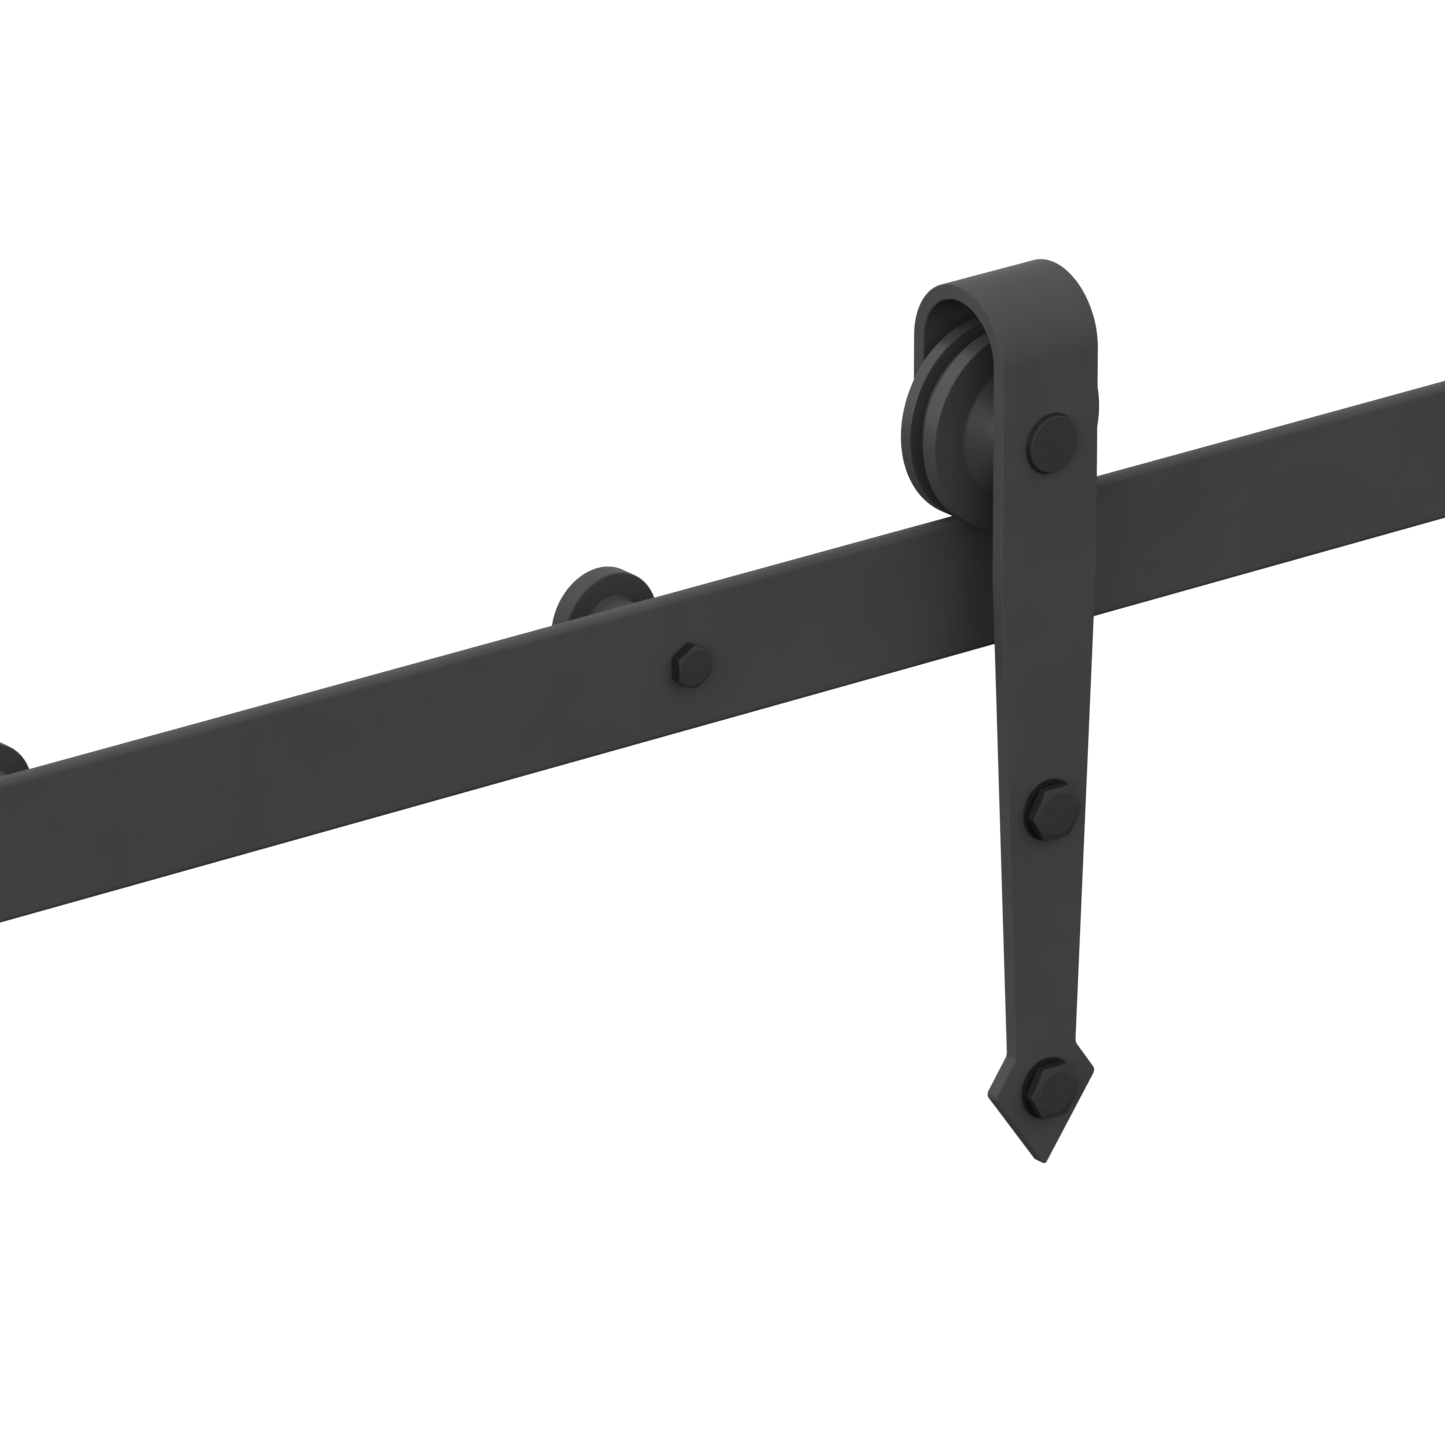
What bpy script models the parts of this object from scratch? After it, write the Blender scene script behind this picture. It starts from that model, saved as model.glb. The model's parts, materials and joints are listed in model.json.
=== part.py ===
"""Sliding barn door hardware: a flat-bar rail on wall spacers, with two strap hangers rolling on it.

Frame: +X runs along the rail, +Y goes into the wall and +Z is up. The origin lies on the wall plane,
at the middle of the rail's length and height. Every size is in metres.
Pieces of a hanger are modelled about its axle, at the point where the axle crosses the rail's middle plane.
"""
import math

import bmesh
import bpy
from mathutils import Vector

GAP = 0.0003  # clearance between pieces that touch

# Rail: a flat bar on edge, held off the wall by turned spacers.
RAIL_LENGTH = 2.000
RAIL_HEIGHT = 0.040
RAIL_THICKNESS = 0.005
RAIL_EDGE_RADIUS = 0.0018
SPACER_LENGTH = 0.035
SPACER_FLANGE_RADIUS = 0.016
SPACER_FLANGE_THICKNESS = 0.0065
SPACER_STEM_RADIUS = 0.009
SPACER_EDGE = 0.0005
SPACER_STATIONS = (-0.917, -0.511, -0.105, 0.105, 0.511, 0.917)
BLIND_STATION = -0.105  # the spacer here hangs on a stud behind the rail, with no bolt head in front
LAG_RADIUS = 0.0032
LAG_LENGTH = 0.055
LAG_HEAD_ACROSS_FLATS = 0.0111
LAG_HEAD_HEIGHT = 0.0037
SCREW_POINT = 2.2  # length of a screw's point, in shank radii
CHAMFER_SHARE = 0.90  # radius of a chamfered face circle, as a share of half the width across flats
CHAMFER_SLOPE = 30  # degrees between a chamfer and the face it surrounds
RAIL_PLANE = -(SPACER_LENGTH + RAIL_THICKNESS / 2)

# Hanger: a bar bent over the wheel, ending in an arrowhead that is bolted to the door.
HANGER_STATIONS = {"left": 0.215, "right": 0.815}
AXLE_HEIGHT = 0.0445
STRAP_THICKNESS = 0.0044
STRAP_HALF_WIDTH = 0.0167
STRAP_FRONT = -0.02235
STRAP_EDGE = 0.0005
LOOP_RADIUS = 0.0196
LOOP_HEIGHT = 0.0238
BEND_STEPS = 16
END_STEPS = 7
END_SWEEP = 88  # degrees of the back leg's round end on each side; 90 would close it to a line
# (height, half width, corner radius) down the front leg, measured from the axle
ARROW_OUTLINE = (
    (-0.2122, 0.0006, 0.0),
    (-0.1887, 0.0179, 0.0018),
    (-0.1787, 0.0107, 0.0030),
    (-0.0380, 0.0167, 0.0200),
)
AXLE_RADIUS = 0.005
# (radius, height above the strap) of the drafted axle head, from its seat to its face
AXLE_HEAD = ((0.0087, 0.0), (0.00815, 0.00125), (0.00785, 0.00165))
AXLE_END = 0.0018  # length left in front of the nut's back face
AXLE_END_CHAMFER = 0.0008
NUT_ACROSS_FLATS = 0.016
NUT_HEIGHT = 0.008
AXLE_WASHER_THICKNESS = 0.0016
AXLE_WASHER_RADIUS = 0.0093
DOOR_BOLT_DROPS = {"upper": 0.1070, "lower": 0.1895}
DOOR_BOLT_RADIUS = 0.005
DOOR_BOLT_ACROSS_FLATS = 0.015
DOOR_BOLT_HEAD_HEIGHT = 0.0034
DOOR_BOLT_LENGTH = 0.020
DOOR_BOLT_CHAMFER_SHARE = 0.80
DOOR_BOLT_CHAMFER_SLOPE = 20
DOOR_WASHER_THICKNESS = 0.0010
DOOR_WASHER_RADIUS = 0.0088

# Wheel: a grooved roller on a ball bearing, with a flared boss at the front.
WHEEL_RADIUS = 0.029
WHEEL_RIM_CHAMFER = 0.0004
WHEEL_SEGMENTS = 32
GROOVE_RADIUS = AXLE_HEIGHT - RAIL_HEIGHT / 2 - GAP
GROOVE_HALF_WIDTH = RAIL_THICKNESS / 2 + GAP
FRONT_FLANGE_FACE = -0.008
BACK_FLANGE_FACE = 0.007
BOSS_BASE_RADIUS = 0.0195
BOSS_END_RADIUS = 0.0115
BOSS_BORE_RADIUS = 0.0092
BOSS_HOLLOW = 1.8  # exponent of the boss's hollow flare; 1 would be a plain cone
BOSS_TO_STRAP = 0.0008
BEARING_RADIUS = 0.015
BEARING_WIDTH = 0.009
INNER_RING_RADIUS = 0.0083
OUTER_RING_BORE = 0.0122
BALL_RADIUS = 0.0022
BALL_COUNT = 7
RACE_DEPTH = 0.0006
CAGE_HALF_THICKNESS = 0.0007
CAGE_HALF_WIDTH = 0.0015
SLEEVE_RADIUS = 0.0076

# End stops: saddle blocks clamped on the rail, each with a rubber buffer at the wheel's height.
STOP_STATION = 0.965
STOP_LENGTH = 0.024
STOP_DEPTH = 0.022
STOP_TOP = 0.058
STOP_SKIRT = -0.006
STOP_EDGE = 0.001
BUFFER_RADIUS = 0.009
BUFFER_THICKNESS = 0.008
BUFFER_DOME = 0.002
BUFFER_EDGE = 0.0006
BUFFER_STEM_RADIUS = 0.003
BUFFER_STEM_LENGTH = 0.010
GRUB_RADIUS = 0.003
GRUB_HEIGHT = 0.007
GRUB_SPREAD = 0.012
GRUB_EDGE = 0.0003
GRUB_SOCKET_ACROSS_FLATS = 0.0025
GRUB_SOCKET_MOUTH = 0.003
GRUB_SOCKET_DEPTH = 0.003

PAINT = ((0.048, 0.048, 0.050), 0.48, 0.35)
BOLT_BLACK = ((0.026, 0.026, 0.028), 0.42, 0.45)
WASHER_BLACK = ((0.008, 0.008, 0.008), 0.50, 0.0)
STEEL = ((0.46, 0.46, 0.47), 0.30, 1.0)
RUBBER = ((0.018, 0.018, 0.018), 0.75, 0.0)
BRASS = ((0.62, 0.47, 0.22), 0.35, 1.0)


def clear_scene():
    for old in list(bpy.data.objects):
        bpy.data.objects.remove(old, do_unlink=True)


def make_material(name, look):
    colour, roughness, metallic = look
    material = bpy.data.materials.new(name)
    material.use_nodes = True
    shader = material.node_tree.nodes["Principled BSDF"]
    shader.inputs["Base Color"].default_value = (*colour, 1.0)
    shader.inputs["Roughness"].default_value = roughness
    shader.inputs["Metallic"].default_value = metallic
    return material


def place(name, mesh, look, location, parent=None):
    piece = bpy.data.objects.new(name, mesh.copy())
    piece.data.name = name
    piece.data.materials.append(make_material(name, look))
    piece.location = location
    piece.parent = parent
    bpy.context.scene.collection.objects.link(piece)
    return piece


def finish_mesh(bm, name):
    bmesh.ops.recalc_face_normals(bm, faces=bm.faces)
    mesh = bpy.data.meshes.new(name)
    bm.to_mesh(mesh)
    bm.free()
    mesh.shade_smooth()
    mesh.set_sharp_from_angle(angle=math.radians(30))
    return mesh


def ring(radius, y, segments, start):
    """Points on a circle about the Y axis; radius and y may each be a function of the angle."""
    points = []
    for step in range(segments):
        angle = start + 2 * math.pi * step / segments
        r = radius(angle) if callable(radius) else radius
        height = y(angle) if callable(y) else y
        points.append(Vector((r * math.cos(angle), height, r * math.sin(angle))))
    return points


def turned(name, outline, segments=18, start=0.0):
    """Turn (radius, y) points about Y, from the start angle; a closed loop has a bore, radius 0 is a pole."""
    bm = bmesh.new()
    loops = []
    for radius, y in outline:
        if radius == 0:
            loops.append([bm.verts.new((0, y, 0))])
        else:
            loops.append([bm.verts.new(point) for point in ring(radius, y, segments, start)])
    pairs = list(zip(loops, loops[1:]))
    if len(loops[0]) > 1:
        pairs.append((loops[-1], loops[0]))
    for first, second in pairs:
        for step in range(segments):
            after = (step + 1) % segments
            corners = [first[step % len(first)], first[after % len(first)]]
            corners += [second[after % len(second)], second[step % len(second)]]
            bm.faces.new(dict.fromkeys(corners))
    return finish_mesh(bm, name)


def hexagon(across_flats, turn=0.0):
    """Radius of a hexagon as a function of the angle; turn is where a corner lies."""
    def radius(angle):
        from_flat = (angle - turn) % (math.pi / 3) - math.pi / 6
        return across_flats / 2 / math.cos(from_flat)
    return radius


def hex_chamfer(across_flats, turn, share=CHAMFER_SHARE, slope=CHAMFER_SLOPE):
    """Radius of a chamfered face, a hexagon's side about it, and how far the side's edge drops."""
    side = hexagon(across_flats, turn)
    face_radius = across_flats / 2 * share

    def drop(angle):
        return (side(angle) - face_radius) * math.tan(math.radians(slope))
    return face_radius, side, drop


def wood_screw(name, chamfer, head_height, shank_radius, length, turn):
    """Hex-headed screw along +Y with its head's seat at y = 0, a corner at turn and a pointed tip."""
    face_radius, side, drop = chamfer
    outline = [
        (0, -head_height), (face_radius, -head_height), (side, lambda angle: drop(angle) - head_height),
        (side, 0), (shank_radius, 0), (shank_radius, length - SCREW_POINT * shank_radius), (0, length),
    ]
    return turned(name, outline, start=turn)


def tube(name, bore, radius, front, back):
    return turned(name, [(bore, front), (radius, front), (radius, back), (bore, back)])


def block(name, low, high):
    bm = bmesh.new()
    bmesh.ops.create_cube(bm, size=1)
    for vert in bm.verts:
        vert.co = Vector([(a + b) / 2 + (b - a) * c for a, b, c in zip(low, high, vert.co)])
    return finish_mesh(bm, name)


def add_cutter(piece, name, mesh, location):
    """Subtract a hidden shape, given in the piece's own frame, from the piece."""
    cutter = bpy.data.objects.new(name, mesh)
    cutter.location = location
    cutter.parent = piece
    cutter.hide_render = True
    cutter.display_type = "WIRE"
    bpy.context.scene.collection.objects.link(cutter)
    cut = piece.modifiers.new(name, "BOOLEAN")
    cut.operation = "DIFFERENCE"
    cut.object = cutter
    return cutter


def add_bevel(piece, width, segments):
    bevel = piece.modifiers.new("eased_edges", "BEVEL")
    bevel.width = width
    bevel.segments = segments
    bevel.limit_method = "ANGLE"
    bevel.angle_limit = math.radians(30)


def drill(piece, name, radius, x, z, depth=(-0.05, 0.05), segments=18):
    """Round hole along Y; depth is the span of Y that the drill covers."""
    outline = [(0, depth[0]), (radius, depth[0]), (radius, depth[1]), (0, depth[1])]
    cutter = add_cutter(piece, name, turned(name, outline, segments), (x, 0, z))
    cutter.rotation_euler = (0, math.pi / segments, 0)


def make_rail():
    half = Vector((RAIL_LENGTH, RAIL_THICKNESS, RAIL_HEIGHT)) / 2
    rail = place("rail", block("rail", -half, half), PAINT, (0, RAIL_PLANE, 0))
    add_bevel(rail, RAIL_EDGE_RADIUS, 3)
    for number, x in enumerate(SPACER_STATIONS, 1):
        if x != BLIND_STATION:
            drill(rail, f"rail_hole_{number}", LAG_RADIUS + GAP, x, 0)


def make_rail_fixings():
    rail_side = -SPACER_LENGTH + GAP
    shoulder = -SPACER_FLANGE_THICKNESS
    bore = LAG_RADIUS + GAP
    spacer = turned("spacer", [
        (bore, rail_side), (SPACER_STEM_RADIUS, rail_side), (SPACER_STEM_RADIUS, shoulder),
        (SPACER_FLANGE_RADIUS - SPACER_EDGE, shoulder), (SPACER_FLANGE_RADIUS, shoulder + SPACER_EDGE),
        (SPACER_FLANGE_RADIUS, 0), (bore, 0),
    ])
    head_seat = RAIL_PLANE - RAIL_THICKNESS / 2 - GAP
    corner_up = math.radians(90)
    head = hex_chamfer(LAG_HEAD_ACROSS_FLATS, corner_up)
    lag = wood_screw("lag_bolt", head, LAG_HEAD_HEIGHT, LAG_RADIUS, LAG_LENGTH, corner_up)
    tip = head_seat + LAG_LENGTH
    stud = turned("blind_stud", [
        (0, rail_side), (LAG_RADIUS, rail_side), (LAG_RADIUS, tip - SCREW_POINT * LAG_RADIUS), (0, tip),
    ])
    for number, x in enumerate(SPACER_STATIONS, 1):
        place(f"spacer_{number}", spacer, PAINT, (x, 0, 0))
        if x == BLIND_STATION:
            place("blind_stud", stud, STEEL, (x, 0, 0))
        else:
            place(f"lag_bolt_{number}", lag, BOLT_BLACK, (x, head_seat, 0))


def make_stop(side, direction):
    """End stop at one end; direction is +1 at the right-hand end and -1 at the left-hand end."""
    axis = Vector((direction * STOP_STATION, RAIL_PLANE, 0))
    inner_face = Vector((-direction * STOP_LENGTH / 2, 0, AXLE_HEIGHT))
    inward = (0, 0, -direction * math.pi / 2)
    low = (-STOP_LENGTH / 2, -STOP_DEPTH / 2, STOP_SKIRT)
    high = (STOP_LENGTH / 2, STOP_DEPTH / 2, STOP_TOP)
    body = place(f"stop_{side}", block("stop", low, high), PAINT, axis)
    add_bevel(body, STOP_EDGE, 2)
    slot_half = RAIL_THICKNESS / 2 + GAP
    slot_top = RAIL_HEIGHT / 2 + GAP
    slot = block("slot", (-STOP_LENGTH, -slot_half, STOP_SKIRT * 2), (STOP_LENGTH, slot_half, slot_top))
    add_cutter(body, f"stop_{side}_slot", slot, (0, 0, 0))

    stem_hole = BUFFER_STEM_RADIUS + GAP
    stem_end = BUFFER_STEM_LENGTH + GAP
    socket = turned("buffer_socket", [
        (0, -BUFFER_THICKNESS), (stem_hole, -BUFFER_THICKNESS), (stem_hole, stem_end), (0, stem_end),
    ])
    cutter = add_cutter(body, f"stop_{side}_socket", socket, inner_face)
    cutter.rotation_euler = inward
    pad = place(f"stop_buffer_{side}", buffer_mesh(), RUBBER, axis + inner_face)
    pad.rotation_euler = inward
    make_grub_screws(side, body, axis)


def buffer_mesh():
    """Domed rubber pad and its stem, with the pad's back just clear of the block at y = 0."""
    front = -BUFFER_THICKNESS
    return turned("buffer", [
        (0, front), (BUFFER_RADIUS - BUFFER_DOME, front),
        (BUFFER_RADIUS - BUFFER_EDGE, front + BUFFER_EDGE), (BUFFER_RADIUS, front + BUFFER_DOME),
        (BUFFER_RADIUS, -GAP), (BUFFER_STEM_RADIUS, -GAP), (BUFFER_STEM_RADIUS, BUFFER_STEM_LENGTH),
        (0, BUFFER_STEM_LENGTH),
    ])


def make_grub_screws(side, body, axis):
    """Two socket screws that clamp the rail through the front of the stop."""
    seat = -RAIL_THICKNESS / 2 - 2 * GAP
    front = seat - GRUB_HEIGHT
    socket_floor = front + GRUB_SOCKET_DEPTH
    grub = turned("grub_screw", [
        (0, socket_floor), (hexagon(GRUB_SOCKET_ACROSS_FLATS), socket_floor),
        (hexagon(GRUB_SOCKET_MOUTH), front), (GRUB_RADIUS - GRUB_EDGE, front),
        (GRUB_RADIUS, front + GRUB_EDGE), (GRUB_RADIUS, seat), (0, seat),
    ])
    height = RAIL_HEIGHT / 4
    for number, offset in enumerate((-GRUB_SPREAD / 2, GRUB_SPREAD / 2), 1):
        name = f"grub_screw_{side}_{number}"
        drill(body, f"{name}_hole", GRUB_RADIUS + GAP, offset, height, (-STOP_DEPTH, 0.0))
        place(name, grub, BOLT_BLACK, axis + Vector((offset, 0, height)))


def filleted(points, steps=3):
    """Replace each corner of an open line of (z, w, radius) points by an arc of its radius."""
    line = [Vector(points[0][:2])]
    for before, corner, after in zip(points, points[1:], points[2:]):
        centre = Vector(corner[:2])
        to_before = (Vector(before[:2]) - centre).normalized()
        to_after = (Vector(after[:2]) - centre).normalized()
        half = to_before.angle(to_after) / 2
        reach = corner[2] / math.tan(half)
        for step in range(steps + 1):
            t = step / steps
            start = centre + to_before * reach * (1 - t) ** 2
            line.append(start + to_after * reach * t ** 2)
    line.append(Vector(points[-1][:2]))
    return line


def strap_stations():
    """(y, z, slope angle, half width) along the strap's middle surface, from the tip over to the back end."""
    middle = STRAP_FRONT + STRAP_THICKNESS / 2
    bend = LOOP_RADIUS - STRAP_THICKNESS / 2
    centre = STRAP_FRONT + LOOP_RADIUS
    outline = ARROW_OUTLINE + ((LOOP_HEIGHT, STRAP_HALF_WIDTH, 0.0),)
    stations = [(middle, z, math.pi, half) for z, half in filleted(outline)]
    for step in range(1, BEND_STEPS + 1):
        angle = math.pi * (1 - step / BEND_STEPS)
        y = centre + bend * math.cos(angle)
        stations.append((y, LOOP_HEIGHT + bend * math.sin(angle), angle, STRAP_HALF_WIDTH))
    for step in range(END_STEPS + 1):
        angle = math.radians(END_SWEEP) * step / END_STEPS
        drop = -STRAP_HALF_WIDTH * math.sin(angle)
        stations.append((centre + bend, drop, 0.0, STRAP_HALF_WIDTH * math.cos(angle)))
    return stations


def strap_section(y, z, angle, half):
    """Rectangle with eased corners, square to the strap at one station."""
    out = Vector((0, math.cos(angle), math.sin(angle)))
    across = Vector((1, 0, 0))
    thick = STRAP_THICKNESS / 2
    ease = min(STRAP_EDGE, half / 2)
    corners = []
    for sign_x, sign_out in ((1, 1), (-1, 1), (-1, -1), (1, -1)):
        near_side = (sign_x * half, sign_out * (thick - ease))
        near_face = (sign_x * (half - ease), sign_out * thick)
        pair = (near_side, near_face) if sign_x == sign_out else (near_face, near_side)
        corners += [Vector((0, y, z)) + across * a + out * b for a, b in pair]
    return corners


def strap_mesh():
    bm = bmesh.new()
    sections = []
    for station in strap_stations():
        sections.append([bm.verts.new(corner) for corner in strap_section(*station)])
    for first, second in zip(sections, sections[1:]):
        for index in range(8):
            after = (index + 1) % 8
            bm.faces.new((first[index], first[after], second[after], second[index]))
    bm.faces.new(sections[0])
    bm.faces.new(reversed(sections[-1]))
    return finish_mesh(bm, "strap")


def make_strap(side, axle):
    strap = place(f"strap_{side}", strap_mesh(), PAINT, (0, 0, 0), axle)
    drill(strap, f"strap_{side}_axle_hole", AXLE_RADIUS + GAP, 0, 0)
    for level, drop in DOOR_BOLT_DROPS.items():
        drill(strap, f"strap_{side}_{level}_hole", DOOR_BOLT_RADIUS + GAP, 0, -drop)


def make_axle(side, axle):
    """Bolt, washer and nut that clamp the strap's legs on the bearing's sleeves."""
    head_seat = STRAP_FRONT - GAP
    back_face = STRAP_FRONT + 2 * LOOP_RADIUS
    washer_back = back_face + GAP + AXLE_WASHER_THICKNESS
    nut_front = washer_back + GAP
    nut_back = nut_front + NUT_HEIGHT
    end = nut_back + AXLE_END
    head = [(radius, head_seat - height) for radius, height in reversed(AXLE_HEAD)]
    bolt = turned("axle_bolt", [(0, head[0][1])] + head + [
        (AXLE_RADIUS, head_seat), (AXLE_RADIUS, end - AXLE_END_CHAMFER),
        (AXLE_RADIUS - AXLE_END_CHAMFER, end), (0, end),
    ])
    bore = AXLE_RADIUS + GAP
    washer = tube("axle_washer", bore, AXLE_WASHER_RADIUS, back_face + GAP, washer_back)
    face_radius, flats, drop = hex_chamfer(NUT_ACROSS_FLATS, 0.0)
    nut = turned("axle_nut", [
        (bore, nut_front), (flats, nut_front), (flats, lambda angle: nut_back - drop(angle)),
        (face_radius, nut_back), (bore, nut_back),
    ])
    bearing_front = BACK_FLANGE_FACE - BEARING_WIDTH
    inner_leg = STRAP_FRONT + STRAP_THICKNESS + GAP
    rear_leg = back_face - STRAP_THICKNESS - GAP
    front_sleeve = tube("front_sleeve", bore, SLEEVE_RADIUS, inner_leg, bearing_front - GAP)
    rear_sleeve = tube("rear_sleeve", bore, SLEEVE_RADIUS, BACK_FLANGE_FACE + GAP, rear_leg)
    place(f"axle_bolt_{side}", bolt, BOLT_BLACK, (0, 0, 0), axle)
    place(f"axle_washer_{side}", washer, WASHER_BLACK, (0, 0, 0), axle)
    place(f"axle_nut_{side}", nut, BOLT_BLACK, (0, 0, 0), axle)
    place(f"front_sleeve_{side}", front_sleeve, STEEL, (0, 0, 0), axle)
    place(f"rear_sleeve_{side}", rear_sleeve, STEEL, (0, 0, 0), axle)


def make_door_bolts(side, axle):
    washer_front = STRAP_FRONT - GAP - DOOR_WASHER_THICKNESS
    head_seat = washer_front - GAP
    head = hex_chamfer(DOOR_BOLT_ACROSS_FLATS, 0.0, DOOR_BOLT_CHAMFER_SHARE, DOOR_BOLT_CHAMFER_SLOPE)
    bolt = wood_screw("door_bolt", head, DOOR_BOLT_HEAD_HEIGHT, DOOR_BOLT_RADIUS, DOOR_BOLT_LENGTH, 0.0)
    washer = tube("door_washer", DOOR_BOLT_RADIUS + GAP, DOOR_WASHER_RADIUS, 0, DOOR_WASHER_THICKNESS)
    for level, drop in DOOR_BOLT_DROPS.items():
        place(f"door_bolt_{level}_{side}", bolt, BOLT_BLACK, (0, head_seat, -drop), axle)
        place(f"door_washer_{level}_{side}", washer, WASHER_BLACK, (0, washer_front, -drop), axle)


def boss_flare(steps=4):
    """Hollow curve from the end of the boss out to its base on the front flange."""
    end = STRAP_FRONT + STRAP_THICKNESS + BOSS_TO_STRAP
    points = []
    for step in range(steps + 1):
        t = step / steps
        radius = BOSS_END_RADIUS + (BOSS_BASE_RADIUS - BOSS_END_RADIUS) * t ** BOSS_HOLLOW
        points.append((radius, end + (FRONT_FLANGE_FACE - end) * t))
    return points


def make_wheel(side, axle):
    rim = WHEEL_RIM_CHAMFER
    pocket_floor = BACK_FLANGE_FACE - BEARING_WIDTH - GAP
    outline = [(BOSS_BORE_RADIUS, boss_flare()[0][1])] + boss_flare() + [
        (WHEEL_RADIUS - rim, FRONT_FLANGE_FACE), (WHEEL_RADIUS, FRONT_FLANGE_FACE + rim),
        (WHEEL_RADIUS, -GROOVE_HALF_WIDTH), (GROOVE_RADIUS, -GROOVE_HALF_WIDTH),
        (GROOVE_RADIUS, GROOVE_HALF_WIDTH), (WHEEL_RADIUS, GROOVE_HALF_WIDTH),
        (WHEEL_RADIUS, BACK_FLANGE_FACE - rim), (WHEEL_RADIUS - rim, BACK_FLANGE_FACE),
        (BEARING_RADIUS + GAP, BACK_FLANGE_FACE), (BEARING_RADIUS + GAP, pocket_floor),
        (BOSS_BORE_RADIUS, pocket_floor),
    ]
    place(f"wheel_{side}", turned("wheel", outline, WHEEL_SEGMENTS), PAINT, (0, 0, 0), axle)


def make_bearing(side, axle):
    front = BACK_FLANGE_FACE - BEARING_WIDTH
    back = BACK_FLANGE_FACE
    middle = (front + back) / 2
    race = BALL_RADIUS
    pitch = (INNER_RING_RADIUS + OUTER_RING_BORE) / 2
    inner = turned("bearing_inner", [
        (AXLE_RADIUS + GAP, front), (INNER_RING_RADIUS, front), (INNER_RING_RADIUS, middle - race),
        (INNER_RING_RADIUS - RACE_DEPTH, middle), (INNER_RING_RADIUS, middle + race),
        (INNER_RING_RADIUS, back), (AXLE_RADIUS + GAP, back),
    ])
    outer = turned("bearing_outer", [
        (OUTER_RING_BORE, front), (BEARING_RADIUS, front), (BEARING_RADIUS, back),
        (OUTER_RING_BORE, back), (OUTER_RING_BORE, middle + race),
        (OUTER_RING_BORE + RACE_DEPTH, middle), (OUTER_RING_BORE, middle - race),
    ])
    cage = tube("ball_cage", pitch - CAGE_HALF_THICKNESS, pitch + CAGE_HALF_THICKNESS,
                middle - CAGE_HALF_WIDTH, middle + CAGE_HALF_WIDTH)
    place(f"bearing_inner_{side}", inner, STEEL, (0, 0, 0), axle)
    place(f"bearing_outer_{side}", outer, STEEL, (0, 0, 0), axle)
    ball_cage = place(f"ball_cage_{side}", cage, BRASS, (0, 0, 0), axle)
    for number in range(BALL_COUNT):
        angle = 2 * math.pi * number / BALL_COUNT
        add_ball(ball_cage, number, (pitch * math.cos(angle), middle, pitch * math.sin(angle)))


def add_ball(cage, number, location):
    """Join one ball to the cage."""
    bm = bmesh.new()
    bmesh.ops.create_icosphere(bm, subdivisions=1, radius=BALL_RADIUS)
    ball = bpy.data.objects.new(f"{cage.name}_ball_{number}", finish_mesh(bm, "ball"))
    ball.location = location
    ball.parent = cage
    ball.hide_render = True
    ball.display_type = "WIRE"
    bpy.context.scene.collection.objects.link(ball)
    join = cage.modifiers.new(ball.name, "BOOLEAN")
    join.operation = "UNION"
    join.object = ball


def make_hanger(side, x):
    axle = bpy.data.objects.new(f"axle_axis_{side}", None)
    axle.location = (x, RAIL_PLANE, AXLE_HEIGHT)
    bpy.context.scene.collection.objects.link(axle)
    make_strap(side, axle)
    make_axle(side, axle)
    make_door_bolts(side, axle)
    make_wheel(side, axle)
    make_bearing(side, axle)


def main():
    clear_scene()
    make_rail()
    make_rail_fixings()
    make_stop("left", -1)
    make_stop("right", 1)
    for side, x in HANGER_STATIONS.items():
        make_hanger(side, x)


main()
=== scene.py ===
"""Looks of the sliding barn door hardware: rail, spacers, end stops and hangers with grooved wheels.

Every piece is turned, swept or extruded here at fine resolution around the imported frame, in metres.
Round pieces are turned about Y, because every bolt, spacer and wheel has its axis along Y.
"""
import json
import math

import bmesh
import bpy
from mathutils import Matrix, Vector


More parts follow.
